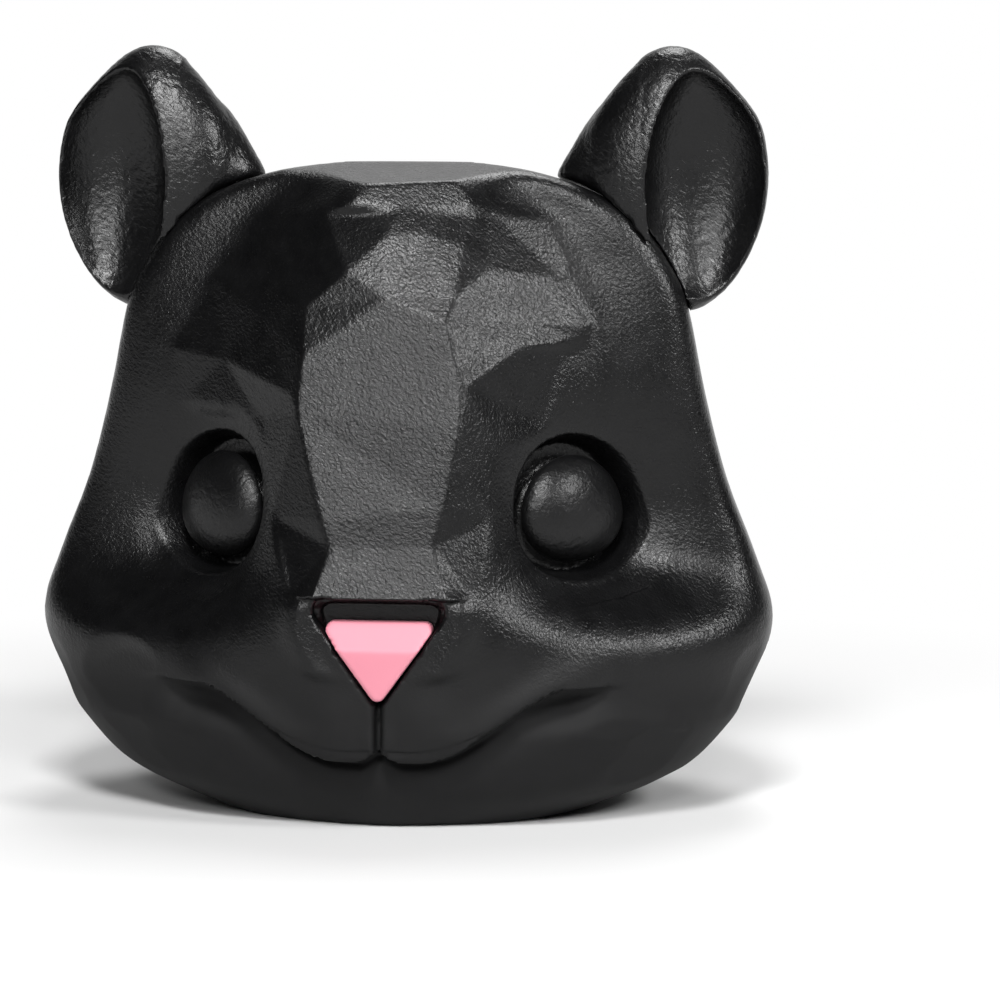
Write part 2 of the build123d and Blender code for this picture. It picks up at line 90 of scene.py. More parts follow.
# hanging cord
cord = {
    "diameter": 1.5 * mm,
    "length": 0.264,
    "roundSteps": 5,
    "lengthSteps": 8,
    "shiftY": -9.206,  # the route is drawn from the cheeks' line, in mm
    "route": [
        (0.0, 25.0, 121.2), (0.0, 25.0, 124.4), (0.0, 27.1, 127.4), (0.0, 30.7, 128.4),
        (0.0, 34.8, 126.5), (0.1, 39.5, 121.0), (0.2, 46.5, 113.2), (0.3, 54.0, 103.5),
        (0.5, 60.5, 90.5), (0.8, 64.4, 75.5), (1.0, 65.6, 59.5), (1.1, 65.7, 43.0),
        (1.0, 65.9, 28.0), (1.2, 66.5, 15.0), (2.2, 69.2, 5.8), (6.0, 75.5, 1.3),
        (13.5, 82.0, 0.8), (22.0, 90.0, 0.8), (25.5, 100.0, 0.8), (19.0, 108.5, 0.8),
        (7.5, 111.0, 0.8), (-5.0, 108.0, 0.8), (-17.0, 106.5, 0.8), (-28.0, 102.5, 1.0),
        (-36.0, 94.5, 1.6), (-40.0, 85.0, 1.6),
    ],
}


def makeCord(c):
    curve = bpy.data.curves.new("hangingCord", "CURVE")
    curve.dimensions = "3D"
    curve.bevel_depth = c["diameter"] / 2 / mm  # times each point's radius
    curve.bevel_resolution = c["roundSteps"]
    curve.resolution_u = c["lengthSteps"]
    curve.use_fill_caps = True
    spline = curve.splines.new("NURBS")
    spline.points.add(len(c["route"]) - 1)
    for point, (x, y, z) in zip(spline.points, c["route"]):
        point.co = (x * mm, (y + c["shiftY"]) * mm, z * mm, 1)
        point.radius = mm
    spline.order_u = 3
    spline.use_endpoint_u = True
    obj = bpy.data.objects.new("hangingCord", curve)
    scene.collection.objects.link(obj)
    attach(obj, "head")
    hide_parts("hanging_cord")
    x, y, z = c["route"][0]
    return obj


cordPiece = makeCord(cord)
print("cord laid")


# meshes from the frame's solids
def mergedCopy(node):
    bm = bmesh.new()
    bm.from_mesh(frame["nodes"][node].data)
    bmesh.ops.remove_doubles(bm, verts=bm.verts, dist=mergeWithin)
    return bm


def remeshed(node, name, voxel):  # even quads over a node's solid
    bm = mergedCopy(node)
    mesh = bpy.data.meshes.new(name)
    bm.to_mesh(mesh)
    bm.free()
    obj = bpy.data.objects.new(name, mesh)
    scene.collection.objects.link(obj)
    mod = obj.modifiers.new("even", "REMESH")
    mod.mode = "VOXEL"
    mod.voxel_size = voxel
    mod.use_smooth_shade = True
    done = bpy.data.meshes.new_from_object(obj.evaluated_get(bpy.context.evaluated_depsgraph_get()))
    obj.modifiers.clear()
    obj.data = done
    bpy.data.meshes.remove(mesh)
    return obj


def refine(bm, wanted):  # halves the quads that wanted picks
    faces = [f for f in bm.faces if wanted(f)]
    edges = list(dict.fromkeys(e for f in faces for e in f.edges))
    bmesh.ops.subdivide_edges(bm, edges=edges, cuts=1, use_grid_fill=True)
    bmesh.ops.triangulate(bm, faces=[f for f in bm.faces if len(f.verts) > 4])
    bm.normal_update()


def soften(bm, verts, steps):
    for _ in range(steps):
        bmesh.ops.smooth_vert(bm, verts=verts, factor=0.5, use_axis_x=True, use_axis_y=True, use_axis_z=True)


def finishPiece(obj, bm, node):
    bm.normal_update()
    bm.to_mesh(obj.data)
    bm.free()
    for polygon in obj.data.polygons:
        polygon.use_smooth = True
    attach(obj, "head")
    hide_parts(node)
    print(obj.name, len(obj.data.polygons), "faces")


def thinOut(obj, quiet, most):  # fewer triangles on the quiet vertices
    count = sum(len(p.vertices) - 2 for p in obj.data.polygons)
    group = obj.vertex_groups.new(name="quiet")
    group.add(quiet, 1.0, "REPLACE")
    mod = obj.modifiers.new("thin", "DECIMATE")
    mod.ratio = most / count
    mod.vertex_group = group.name
    old = obj.data
    done = bpy.data.meshes.new_from_object(obj.evaluated_get(bpy.context.evaluated_depsgraph_get()))
    obj.modifiers.clear()
    obj.vertex_groups.remove(group)
    done.name = old.name
    obj.data = done
    bpy.data.meshes.remove(old)
    print(obj.name, len(quiet), "quiet of", count, "thinned to", len(done.polygons))


# head
head = {
    "voxel": 1.6 * mm,
    "mostTriangles": 197000,
    "cheekLine": -9.206,  # all places below are in mm, with Y from the cheeks' line
    "heart": (0.0, 14.0, 62.0),  # the outside looks away from here
    "quietBehind": 12.0,  # fewer triangles there and inside
    "snapWithin": 0.5,
    "snapFacing": -0.2,
    "straySteps": 12,
    "rayFrom": -150.0,  # well in front
    "front": {"before": -4.0, "above": 8.0},  # these three areas get finer and finer quads
    "detail": {"before": -4.0, "mouthWide": 44.0, "mouthTall": 4.5, "noseWide": 19.0, "nose": (15.0, 52.0)},
    "recess": {"before": -25.0, "wide": 16.0, "heights": (39.0, 49.0)},
    "recessFloor": {"behind": -34.0, "wide": 14.0, "heights": (26.0, 47.0)},
    "eye": {"place": (37.0, -16.5, 61.2), "turn": 44.0, "rise": 4.0, "rim": (9.0, 18.5), "reach": 7.0,
            "rimSteps": 4},
    "socket": {"from": 8.5, "full": 12.5, "to": 20.5, "open": 1.6, "sink": 2.2, "sinkFrom": 0.0,
               "sinkTo": -2.5, "sinkFade": 2.0, "sinkWithin": (13.0, 15.5)},
    "smile": {"low": 14.6, "notch": 1.9, "notchWide": 4.5, "climb": 14.5, "climbFrom": 8.0, "climbTo": 39.0},
    "mouth": {"before": -6.0, "facing": 0.1, "heights": (2.0, 60.0), "lipTop": 44.0},
    "lip": {"proud": 1.9, "reach": 5.0, "endFrom": 35.0, "endTo": 48.0},
    "chin": {"deep": 2.9, "reach": 7.0},
    "crease": {"below": 0.9, "wide": 1.0, "deep": 1.4, "endFrom": 15.0, "endTo": 27.0},
    "pad": {"x": 10.5, "z": 21.5, "wide": 8.0, "tall": 6.5, "proud": 1.3},
    "dimple": {"x": 36.0, "below": 2.2, "wide": 8.5, "tall": 6.0, "deep": 2.3},
    "groove": {"wide": 0.7, "deep": 3.2, "over": -0.4, "top": 26.5},
    "noseSide": {"x": 16.8, "z": 43.0, "bend": 0.04, "wide": 3.2, "low": (30.0, 33.0), "high": (44.5, 49.5),
                 "proud": 1.4},
    "cheek": {"z": 52.0, "tall": 14.0, "out": 1.3, "from": 40.0, "to": 60.0},
    "net": {"top": (121.0, 123.5), "eyeClear": (15.5, 22.0), "most": 6.0, "facing": -0.1,
            "edgeSteps": 2, "softAbove": 52.0, "softOut": 13.0, "softRings": 2, "softSteps": 5},
    "facets": {"count": 330, "goldenTurn": 2.399963, "turnJitter": 0.12, "upJitter": 0.04,
               "inset": (0.15, 0.4), "tilt": 0.05, "rayFrom": 160.0, "facing": 0.2, "eyeClear": 21.0,
               "near": 15.0, "fade": 0.7, "most": 0.9, "passes": 2, "seed": 11},
    "plain": [  # no small facets here: half width, then from and to in Y and in Z
        (46.0, -far, -22.0, -far, 46.0), (40.0, -far, -4.0, 46.0, 123.0), (far, -far, far, 44.0, 67.0),
        (far, -8.0, far, 44.0, far), (far, -far, far, -far, 6.0), (far, -far, far, 120.0, far),
    ],
}

# corners of the flat planes on the forehead and the bridge: across, up and how far it is lifted off
faceCorners = {
    "crestL": (-29, 121.5, 0), "crestM": (-15, 123, 0), "crestC": (1.5, 123.5, 0),
    "crestR": (17.5, 123, 0), "crestE": (30, 120.5, 0), "sideL": (-39, 108.5, 0),
    "browL": (-27.5, 108, 0.3), "bL": (-17, 103.5, 0.2), "aL": (-9, 110.5, 0), "aTL": (-1.5, 117.5, 0.5),
    "aTR": (6, 118, 0.5), "aR": (14, 115.5, 0.4), "aE": (19, 111, 0), "aLow": (-0.5, 105.5, 0.2),
    "dTop": (33, 108.5, 0.4), "cTop": (13, 105.5, 0.2), "ridge": (11.5, 101, 0.3), "cR": (26, 100.5, 0.3),
    "dE": (39, 99, 0.7), "bLL": (-17, 94, 0.6), "bR": (13.5, 93, 0.2), "cLow": (25, 95, 0.6),
    "dLow": (38, 96.5, 0.7), "lowL": (-27, 101, 0.2), "archL": (-35, 92, 0.8), "archIn": (-19, 86.5, 0.6),
    "brL1": (-17.5, 83, 0.7), "brR1": (15, 80.5, 0.6), "rIn": (16, 88.5, 0.4), "rTop": (34.5, 94.5, 0),
    "rMid": (30.5, 79.5, -0.6), "brL2": (-12, 62.5, 0.7), "brR2": (12.5, 65, 0.7), "brL4": (-10, 57, 0.7),
    "brR4": (10.5, 57.5, 0.7), "brL3": (-13, 47.2, 2.3), "brR3": (14, 47.2, 2.3), "tempL": (-48, 94, 0),
    "valL1": (-26.5, 80.5, -0.8), "valL2": (-22.5, 62, -0.3),
    "valL3": (-17.5, 47.3, 0), "valR1": (22, 77.5, -0.3), "valR2": (21, 62.5, -0.2), "valR3": (18.5, 47.3, 0),
    "eyeOutL": (-46, 82, 0),
}
facePlanes = [
    ("crestL", "crestM", "browL"), ("crestL", "browL", "sideL"), ("crestM", "aL", "browL"),
    ("crestM", "aTL", "aL"), ("crestM", "crestC", "aTL"), ("crestC", "aTR", "aTL"),
    ("crestC", "crestR", "aTR"), ("crestR", "aR", "aTR"), ("crestR", "aE", "aR"), ("crestR", "dTop", "aE"),
    ("crestR", "crestE", "dTop"), ("aL", "aTL", "aLow"), ("aTL", "aTR", "aLow"), ("aTR", "aR", "cTop"),
    ("aTR", "cTop", "aLow"), ("aLow", "cTop", "ridge"), ("aR", "aE", "cTop"), ("browL", "aL", "bL"),
    ("bL", "aL", "aLow"), ("bL", "aLow", "bLL"), ("aLow", "ridge", "bLL"), ("ridge", "bR", "bLL"),
    ("ridge", "cTop", "cR"), ("cTop", "aE", "cR"), ("ridge", "cR", "cLow"), ("ridge", "cLow", "bR"),
    ("aE", "dTop", "cR"), ("cR", "dTop", "dE"), ("cR", "dE", "dLow"), ("cR", "dLow", "cLow"),
    ("browL", "bL", "lowL"), ("lowL", "bL", "bLL"), ("lowL", "bLL", "archIn"), ("sideL", "browL", "lowL"),
    ("sideL", "lowL", "archL"), ("sideL", "archL", "tempL"), ("lowL", "archIn", "archL"),
    ("archL", "archIn", "valL1"), ("archIn", "brL1", "valL1"), ("tempL", "archL", "eyeOutL"),
    ("archL", "valL1", "eyeOutL"), ("brL1", "brL2", "valL2"), ("brL1", "valL2", "valL1"),
    ("brL2", "brL4", "valL2"), ("brL4", "valL3", "valL2"), ("brL4", "brL3", "valL3"),
    ("bLL", "bR", "brL1"), ("bLL", "brL1", "archIn"),
    ("bR", "rIn", "brR1"), ("bR", "brR1", "brL1"), ("brL1", "brR1", "brR2"), ("brL1", "brR2", "brL2"),
    ("brL2", "brR2", "brR4"), ("brL2", "brR4", "brL4"),
    ("brL4", "brR4", "brR3"), ("brL4", "brR3", "brL3"), ("bR", "cLow", "rIn"), ("cLow", "rTop", "rIn"),
    ("cLow", "dLow", "rTop"), ("rIn", "rTop", "rMid"), ("rIn", "rMid", "valR1"), ("rIn", "valR1", "brR1"),
    ("brR1", "valR1", "valR2"), ("brR1", "valR2", "brR2"), ("brR2", "valR2", "brR4"),
    ("brR4", "valR2", "valR3"), ("brR4", "valR3", "brR3"),
]


def hump(value, middle, spread):
    return exp(-((value - middle) / spread) ** 2)


def smileHeight(h, x):
    m = h["smile"]
    notch = m["notch"] * (1 - smoothStep(0, m["notchWide"], abs(x)))
    return m["low"] + notch + m["climb"] * smoothStep(m["climbFrom"], m["climbTo"], abs(x))


def eyeDistance(h, p):  # across the nearer eye's axis, and along it
    e = h["eye"]
    side = 1 if p.x > 0 else -1
    x, y, z = e["place"]
    axis = facingVector(side * e["turn"], e["rise"])
    away = p - Vector((side * x, y, z))
    along = away.dot(axis)
    return (away - axis * along).length, along


def atRim(h, p):
    across, along = eyeDistance(h, p)
    low, high = h["eye"]["rim"]
    return low < across < high and abs(along) < h["eye"]["reach"]


def netTree(h, solid):  # the flat planes, stood on the solid's own face
    names = list(faceCorners)
    points = []
    for x, z, lift in faceCorners.values():
        hit = solid.ray_cast(Vector((x, h["rayFrom"], z)) * mm, Vector((0, 1, 0)))[0]
        points.append(Vector((x, hit.y / mm - h["cheekLine"] - lift, z)))
    return BVHTree.FromPolygons(points, [[names.index(n) for n in plane] for plane in facePlanes])


def flattenFace(h, places, normals, net):  # gives the places that the planes cover
    n = h["net"]
    covered = set()
    for index, p in enumerate(places):
        if p.y > 0 or normals[index].y > n["facing"]:
            continue
        across, _ = eyeDistance(h, p)
        hit = net.ray_cast(Vector((p.x, h["rayFrom"], p.z)), Vector((0, 1, 0)))[0]
        if hit and abs(hit.y - p.y) < n["most"]:
            p.y += (hit.y - p.y) * smoothStep(*n["eyeClear"], across) * (1 - smoothStep(*n["top"], p.z))
            covered.add(index)
    return covered


def fillCheeks(h, places, outside):
    c = h["cheek"]
    for index, p in enumerate(places):
        if outside[index]:
            side = 1 if p.x > 0 else -1
            p.x += side * c["out"] * hump(p.z, c["z"], c["tall"]) * smoothStep(c["from"], c["to"], abs(p.x))


def openSockets(h, places):
    s, e = h["socket"], h["eye"]
    for p in places:
        across, along = eyeDistance(h, p)
        if p.y > 0 or abs(along) > e["reach"] or not s["from"] < across < s["to"]:
            continue
        side = 1 if p.x > 0 else -1
        x, y, z = e["place"]
        axis = facingVector(side * e["turn"], e["rise"])
        away = p - Vector((side * x, y, z))
        away -= axis * away.dot(axis)
        wider = smoothStep(s["from"], s["full"], across) * (1 - smoothStep(s["full"], s["to"], across))
        deeper = smoothStep(s["from"], s["from"] + s["sinkFade"], across)
        deeper *= 1 - smoothStep(s["sinkTo"], s["sinkFrom"], along)
        deeper *= 1 - smoothStep(*s["sinkWithin"], across)
        p += away.normalized() * s["open"] * wider - axis * s["sink"] * deeper


def shapeMouth(h, places, normals):
    lip, chin, pad, dimple = h["lip"], h["chin"], h["pad"], h["dimple"]
    groove, crease, noseSide = h["groove"], h["crease"], h["noseSide"]
    mouth, floor = h["mouth"], h["recessFloor"]
    low, high = mouth["heights"]
    for index, p in enumerate(places):
        if p.y > mouth["before"] or normals[index].y > mouth["facing"] or p.z > high or p.z < low:
            continue
        x = abs(p.x)
        t = p.z - smileHeight(h, x)
        inMouth = 1 - smoothStep(lip["endFrom"], lip["endTo"], x)
        push = 0.0
        if t < 0:
            push += chin["deep"] * hump(t, 0, chin["reach"]) * inMouth
            inCrease = 1 - smoothStep(crease["endFrom"], crease["endTo"], x)
            push += crease["deep"] * hump(t, -crease["below"], crease["wide"]) * inCrease
            inDimple = hump(x, dimple["x"], dimple["wide"]) * hump(t, -dimple["below"], dimple["tall"])
            push += dimple["deep"] * inDimple
        elif p.z < mouth["lipTop"]:
            push -= lip["proud"] * hump(t, 0, lip["reach"]) * inMouth
            push -= pad["proud"] * hump(x, pad["x"], pad["wide"]) * hump(p.z, pad["z"], pad["tall"])
        if groove["over"] < t and p.z < groove["top"]:
            push += groove["deep"] * hump(x, 0, groove["wide"])
        beside = smoothStep(*noseSide["low"], p.z) * (1 - smoothStep(*noseSide["high"], p.z))
        ridge = noseSide["x"] - noseSide["bend"] * (noseSide["z"] - p.z) ** 2
        push -= noseSide["proud"] * hump(x, ridge, noseSide["wide"]) * beside
        if p.y > floor["behind"] and x < floor["wide"] and floor["heights"][0] < p.z < floor["heights"][1]:
            push = 0.0  # the floor of the nose's recess stays
        p.y += push


def rounded(solid, hit, normal, step=7 * mm, least=0.12 * mm):  # falls away on all sides
    side = normal.orthogonal()
    other = normal.cross(side)
    falls = []
    for turn in range(0, 180, 45):
        along = (side * cos(radians(turn)) + other * sin(radians(turn))) * step
        ends = [solid.find_nearest(hit + way)[0] for way in (along, -along)]
        falls.append(-sum((end - hit).dot(normal) for end in ends) / 2)
    return min(falls) > -least and sum(falls) / len(falls) > least


def facetSeeds(h, solid):  # spread evenly over the outside, each a point and a direction
    f = h["facets"]
    rng = random.Random(f["seed"])
    heart = Vector(h["heart"])
    seeds = []
    for k in range(f["count"]):
        up = 1 - 2 * (k + 0.5) / f["count"]
        turn = k * f["goldenTurn"] + rng.uniform(-f["turnJitter"], f["turnJitter"])
        flat = (1 - up * up) ** 0.5
        up += rng.uniform(-f["upJitter"], f["upJitter"])
        out = Vector((cos(turn) * flat, sin(turn) * flat, up)).normalized()
        inset = rng.uniform(*f["inset"])
        tilt = Vector((rng.uniform(-1, 1), rng.uniform(-1, 1), rng.uniform(-1, 1))) * f["tilt"]
        start = heart + out * f["rayFrom"]
        start.y += h["cheekLine"]
        hit, normal, _, _ = solid.ray_cast(start * mm, -out)
        if hit is None or normal.dot(out) < f["facing"]:
            continue
        point = hit / mm
        point.y -= h["cheekLine"]
        across, _ = eyeDistance(h, point)
        plain = any(abs(point.x) < half and y0 < point.y < y1 and z0 < point.z < z1
                    for half, y0, y1, z0, z1 in h["plain"])
        if across < f["eyeClear"] or plain or not rounded(solid, hit, normal):
            continue
        normal = (normal + tilt).normalized()
        seeds.append((point - normal * inset, normal))
    return seeds


def cutFacets(h, places, outside, seeds):
    f = h["facets"]
    tree = KDTree(len(seeds))
    for index, (point, _) in enumerate(seeds):
        tree.insert(point, index)
    tree.balance()
    for index, p in enumerate(places):
        if not outside[index]:
            continue
        near = tree.find_range(p, f["near"])
        for _ in range(f["passes"]):
            over = [((p - seeds[k][0]).dot(seeds[k][1]), k, gap) for _, k, gap in near]
            if not over:
                break
            depth, k, gap = max(over)
            if depth <= 0:
                break
            weight = 1 - smoothStep(f["fade"] * f["near"], f["near"], gap)
            p -= seeds[k][1] * min(depth, f["most"]) * weight


def makeHead(h):
    obj = remeshed("head_shell", "headShell", h["voxel"])
    solidMesh = mergedCopy("head_shell")
    solid = BVHTree.FromBMesh(solidMesh)
    bm = bmesh.new()
    bm.from_mesh(obj.data)
    shift = Vector((0, h["cheekLine"], 0))
    heart = Vector(h["heart"])

    def onOutside(place, normal):
        return (place - heart).dot(normal) > 0

    def inFront(f):
        c = f.calc_center_median() / mm - shift
        return c.y < h["front"]["before"] and c.z > h["front"]["above"] and onOutside(c, f.normal)

    def inDetail(f):
        d = h["detail"]
        c = f.calc_center_median() / mm - shift
        if c.y > d["before"] or not onOutside(c, f.normal):
            return False
        atMouth = abs(c.x) < d["mouthWide"] and abs(c.z - smileHeight(h, c.x)) < d["mouthTall"]
        atNose = abs(c.x) < d["noseWide"] and d["nose"][0] < c.z < d["nose"][1]
        return atMouth or atNose or atRim(h, c)

    def atRecess(f):
        r = h["recess"]
        c = f.calc_center_median() / mm - shift
        inside = c.y < r["before"] and abs(c.x) < r["wide"] and r["heights"][0] < c.z < r["heights"][1]
        return inside and onOutside(c, f.normal)

    def settle():  # onto the solid, with stray places drawn level with their neighbours
        stray = []
        for v in bm.verts:
            place, normal, _, gap = solid.find_nearest(v.co)
            if gap < h["snapWithin"] * mm and normal.dot(v.normal) > h["snapFacing"]:
                v.co = place
            else:
                stray.append(v)
        soften(bm, stray, h["straySteps"])
        bm.normal_update()
        print("headShell", len(stray), "stray places")

    bm.normal_update()
    settle()
    settle()
    refine(bm, inFront)
    settle()
    refine(bm, inDetail)
    refine(bm, atRecess)
    settle()
    soften(bm, list(bm.verts), 1)
    bm.normal_update()
    bm.verts.ensure_lookup_table()
    places = [v.co / mm - shift for v in bm.verts]
    normals = [v.normal.copy() for v in bm.verts]
    outside = [onOutside(p, n) for p, n in zip(places, normals)]
    covered = flattenFace(h, places, normals, netTree(h, solid))
    cutFacets(h, places, outside, facetSeeds(h, solid))
    shapeMouth(h, places, normals)
    openSockets(h, places)
    fillCheeks(h, places, outside)
    for v, p in zip(bm.verts, places):
        v.co = (p + shift) * mm
    border = set()
    for e in bm.edges:
        a, b = e.verts
        if (a.index in covered) != (b.index in covered):
            border.update((a, b))
    n = h["net"]
    soften(bm, list(border), n["edgeSteps"])
    border = {v for v in border
              if places[v.index].z > n["softAbove"] or abs(places[v.index].x) > n["softOut"]}
    for _ in range(n["softRings"]):
        border |= {e.other_vert(v) for v in border for e in v.link_edges}
    soften(bm, list(border), n["softSteps"])
    soften(bm, [v for v, p in zip(bm.verts, places) if atRim(h, p)], h["eye"]["rimSteps"])
    solidMesh.free()
    quiet = [i for i, p in enumerate(places) if not outside[i] or p.y > h["quietBehind"]]
    finishPiece(obj, bm, "head_shell")
    thinOut(obj, quiet, h["mostTriangles"])
    return obj


headPiece = makeHead(head)


# ears, eyes and nose
def makeSmall(node, name, look, shape=None):
    obj = remeshed(node, name, look["voxel"])
    bm = bmesh.new()
    bm.from_mesh(obj.data)
    soften(bm, list(bm.verts), look["steps"])
    if shape:
        bm.normal_update()
        shape(bm)
    finishPiece(obj, bm, node)
    return obj


ear = {
    "voxel": 0.5 * mm,
    "steps": 4,
    "widenFrom": 48 * mm,  # outward of this the ear is spread
    "widen": 1.04,
    "forward": 0.15,  # how far the outer rim is brought forward, per its distance outward
    "footFrom": 116 * mm,  # below this the outer end is drawn down
    "footTo": 100 * mm,
    "footDrop": 1.5 * mm,
    "footReach": 10 * mm,
    "middle": 52 * mm,  # the top narrows toward this
    "taper": 0.2,
    "taperFrom": 138 * mm,
    "taperTo": 154 * mm,
    "ledgeWithin": 47 * mm,  # inward of this the back ledge is smoothed away
    "ledgeSteps": 60,
    "lean": 0.08,  # backward, per height over leanFrom
    "leanFrom": 115 * mm,
    "ripplePerMetre": 800,
    "ripple": 0.07 * mm,
}


def shapeEar(bm):
    e = ear
    for v in bm.verts:
        side = 1 if v.co.x > 0 else -1
        out = abs(v.co.x) - e["widenFrom"]
        if out > 0:
            v.co.x += side * out * (e["widen"] - 1)
            v.co.y -= e["forward"] * out
            reach = smoothStep(0, e["footReach"], out)
            v.co.z -= e["footDrop"] * (1 - smoothStep(e["footTo"], e["footFrom"], v.co.z)) * reach
        narrow = e["taper"] * smoothStep(e["taperFrom"], e["taperTo"], v.co.z)
        v.co.x -= side * (abs(v.co.x) - e["middle"]) * narrow
        v.co.y += e["lean"] * max(v.co.z - e["leanFrom"], 0)
    ledge = [v for v in bm.verts if abs(v.co.x) < e["ledgeWithin"] and v.co.z > e["leanFrom"]]
    soften(bm, ledge, e["ledgeSteps"])
    bm.normal_update()
    moves = [v.normal * e["ripple"] * noise.noise(v.co * e["ripplePerMetre"]) for v in bm.verts]
    for v, move in zip(bm.verts, moves):
        v.co += move


eye = {"voxel": 0.5 * mm, "steps": 3, "spread": 1.07, "outward": 1.2 * mm, "top": 0.93}


def shapeEye(bm):
    place = head["eye"]["place"]
    side = 1 if next(iter(bm.verts)).co.x > 0 else -1
    middle = Vector((side * place[0], place[1] + head["cheekLine"], place[2])) * mm
    axis = facingVector(side * head["eye"]["turn"], head["eye"]["rise"])
    across = Vector((0, 0, 1)).cross(axis).normalized() * side  # points outward
    up = axis.cross(across).normalized()
    up *= 1 if up.z > 0 else -1
    for v in bm.verts:
        away = v.co - middle
        wide, tall = away.dot(across), away.dot(up)
        v.co += across * (wide * (eye["spread"] - 1) + eye["outward"])
        if tall > 0:
            v.co += up * tall * (eye["top"] - 1)


nose = {"voxel": 0.35 * mm, "steps": 4}
earPieces = [makeSmall(f"{s}_ear", f"{s}Ear", ear, shapeEar) for s in ("left", "right")]
eyePieces = [makeSmall(f"{s}_eye", f"{s}Eye", eye, shapeEye) for s in ("left", "right")]
nosePiece = makeSmall("nose", "nosePiece", nose)


# finishes
def groupSockets(group, inputs, outputs):
    for name, kind, value in inputs:
        socket = group.interface.new_socket(name=name, in_out="INPUT", socket_type=kind)
        if value is not None:
            socket.default_value = value
    for name, kind in outputs:
        group.interface.new_socket(name=name, in_out="OUTPUT", socket_type=kind)
    return group.nodes.new("NodeGroupInput"), group.nodes.new("NodeGroupOutput")


def mathNode(tree, operation, a, b):
    node = tree.nodes.new("ShaderNodeMath")
    node.operation = operation
    for socket, value in zip(node.inputs, (a, b)):
        if isinstance(value, (int, float)):
            socket.default_value = value
        else:
            tree.links.new(value, socket)
    return node.outputs[0]


grain = {
    "turn": (0.5, 0.9, 0.4),
    "detail": 1.0,
    "roughness": 0.5,
    "distortion": 0.7,
    "fineShare": 0.65,
    "dents": 0.6,  # times as many per metre
    "dentSmooth": 0.7,
    "dentShare": 0.35,
    "patches": 0.09,  # times as many per metre
    "patchDetail": 2.0,
}


def makeHammered(g):  # beaten, slightly streaked grain
    group = bpy.data.node_groups.new("hammeredGrain", "ShaderNodeTree")
    enter, leave = groupSockets(
        group,
        [("Vector", "NodeSocketVector", None), ("Per Metre", "NodeSocketFloat", 900.0),
         ("Streak", "NodeSocketFloat", 0.5)],
        [("Height", "NodeSocketFloat"), ("Patch", "NodeSocketFloat")],
    )
    links = group.links
    turn = group.nodes.new("ShaderNodeMapping")
    turn.inputs["Rotation"].default_value = g["turn"]
    links.new(enter.outputs["Vector"], turn.inputs["Vector"])
    squeeze = group.nodes.new("ShaderNodeCombineXYZ")
    squeeze.inputs["X"].default_value = 1.0
    squeeze.inputs["Y"].default_value = 1.0
    links.new(enter.outputs["Streak"], squeeze.inputs["Z"])
    streaked = group.nodes.new("ShaderNodeVectorMath")
    streaked.operation = "MULTIPLY"
    links.new(turn.outputs["Vector"], streaked.inputs[0])
    links.new(squeeze.outputs["Vector"], streaked.inputs[1])
    fine = group.nodes.new("ShaderNodeTexNoise")
    fine.inputs["Detail"].default_value = g["detail"]
    fine.inputs["Roughness"].default_value = g["roughness"]
    fine.inputs["Distortion"].default_value = g["distortion"]
    links.new(streaked.outputs["Vector"], fine.inputs["Vector"])
    links.new(enter.outputs["Per Metre"], fine.inputs["Scale"])
    dents = group.nodes.new("ShaderNodeTexVoronoi")
    dents.feature = "SMOOTH_F1"
    dents.inputs["Smoothness"].default_value = g["dentSmooth"]
    links.new(streaked.outputs["Vector"], dents.inputs["Vector"])
    links.new(mathNode(group, "MULTIPLY", enter.outputs["Per Metre"], g["dents"]), dents.inputs["Scale"])
    broad = group.nodes.new("ShaderNodeTexNoise")
    broad.inputs["Detail"].default_value = g["patchDetail"]
    links.new(enter.outputs["Vector"], broad.inputs["Vector"])
    links.new(mathNode(group, "MULTIPLY", enter.outputs["Per Metre"], g["patches"]), broad.inputs["Scale"])
    height = mathNode(group, "ADD", mathNode(group, "MULTIPLY", fine.outputs["Fac"], g["fineShare"]),
                      mathNode(group, "MULTIPLY", dents.outputs["Distance"], g["dentShare"]))
    links.new(height, leave.inputs["Height"])
    links.new(broad.outputs["Fac"], leave.inputs["Patch"])
    return group


hammered = makeHammered(grain)
noiseRange = (0.3, 0.7)  # where most of a noise lies


def rangeNode(tree, value, between, to=(0.0, 1.0), kind="LINEAR"):
    node = tree.nodes.new("ShaderNodeMapRange")
    node.interpolation_type = kind
    node.inputs["From Min"].default_value, node.inputs["From Max"].default_value = between
    node.inputs["To Min"].default_value, node.inputs["To Max"].default_value = to
    tree.links.new(value, node.inputs["Value"])
    return node.outputs["Result"]


def newMaterial(name):
    material = bpy.data.materials.new(name)
    material.use_nodes = True
    tree = material.node_tree
    return material, tree, tree.nodes["Principled BSDF"]


